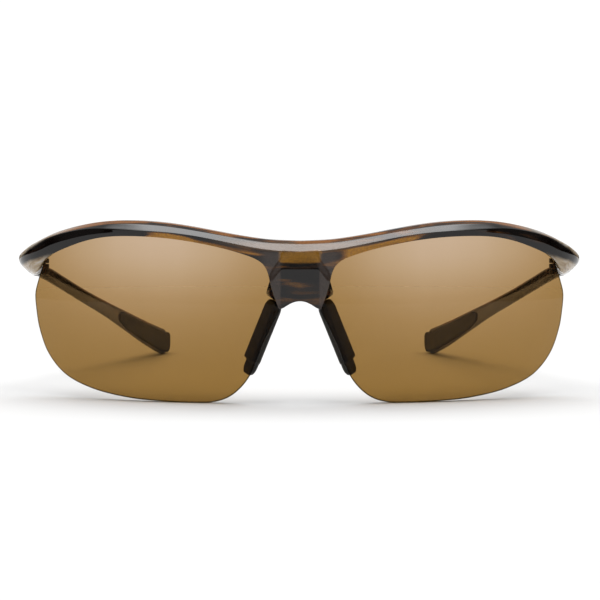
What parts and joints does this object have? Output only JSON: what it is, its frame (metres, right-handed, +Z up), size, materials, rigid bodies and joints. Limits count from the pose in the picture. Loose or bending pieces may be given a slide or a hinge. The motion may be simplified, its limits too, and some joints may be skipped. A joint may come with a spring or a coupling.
{
  "type": "half-rim wraparound sports sunglasses",
  "caption": "Half-rim wraparound sports sunglasses with brown tinted curved lenses, a tortoiseshell brow frame, folding temples with soft tips and bendable nose pads.",
  "frame": {"origin": "middle of the footprint of the open glasses, on the surface that they stand on", "axes": "+Z up, +Y from the front of the bridge back to the ears, +X to the wearer's left"},
  "size_m": [0.1416, 0.1469, 0.0443],
  "materials": {
    "tortoise_nylon": "glossy, streaked amber and dark brown",
    "tinted_lens": "polished, brown tint",
    "grip_rubber": "matte",
    "hinge_steel": "satin",
    "screw_steel": "polished",
    "core_metal": "satin"
  },
  "bodies": {
    "front": {"front_frame": "tortoise_nylon", "lens_left": "tinted_lens", "front_hinge_leaf_left": "hinge_steel", "hinge_screw_left": "screw_steel", "lens_right": "tinted_lens", "front_hinge_leaf_right": "hinge_steel", "hinge_screw_right": "screw_steel"},
    "left_temple": {"temple_left": "tortoise_nylon", "temple_tip_pad_left": "grip_rubber", "temple_hinge_leaf_left": "hinge_steel"},
    "left_nose_pad": {"nose_pad_left": "grip_rubber", "nose_pad_core_left": "core_metal"},
    "right_temple": {"temple_right": "tortoise_nylon", "temple_tip_pad_right": "grip_rubber", "temple_hinge_leaf_right": "hinge_steel"},
    "right_nose_pad": {"nose_pad_right": "grip_rubber", "nose_pad_core_right": "core_metal"}
  },
  "joints": [
    {"name": "left_temple_hinge", "type": "hinge", "parent": "front", "child": "left_temple", "pos_m": [0.0644, -0.0361, 0.0316], "axis": [0, 0, 1], "range_deg": [0, 84]},
    {"name": "left_nose_pad_bend", "type": "hinge", "parent": "front", "child": "left_nose_pad", "pos_m": [0.00503, -0.0644, 0.02684], "axis": [0, -1, 0], "range_deg": [-8, 8]},
    {"name": "right_temple_hinge", "type": "hinge", "parent": "front", "child": "right_temple", "pos_m": [-0.0644, -0.0361, 0.0316], "axis": [0, 0, -1], "range_deg": [0, 78]},
    {"name": "right_nose_pad_bend", "type": "hinge", "parent": "front", "child": "right_nose_pad", "pos_m": [-0.00503, -0.0644, 0.02684], "axis": [0, 1, 0], "range_deg": [-8, 8]}
  ]
}
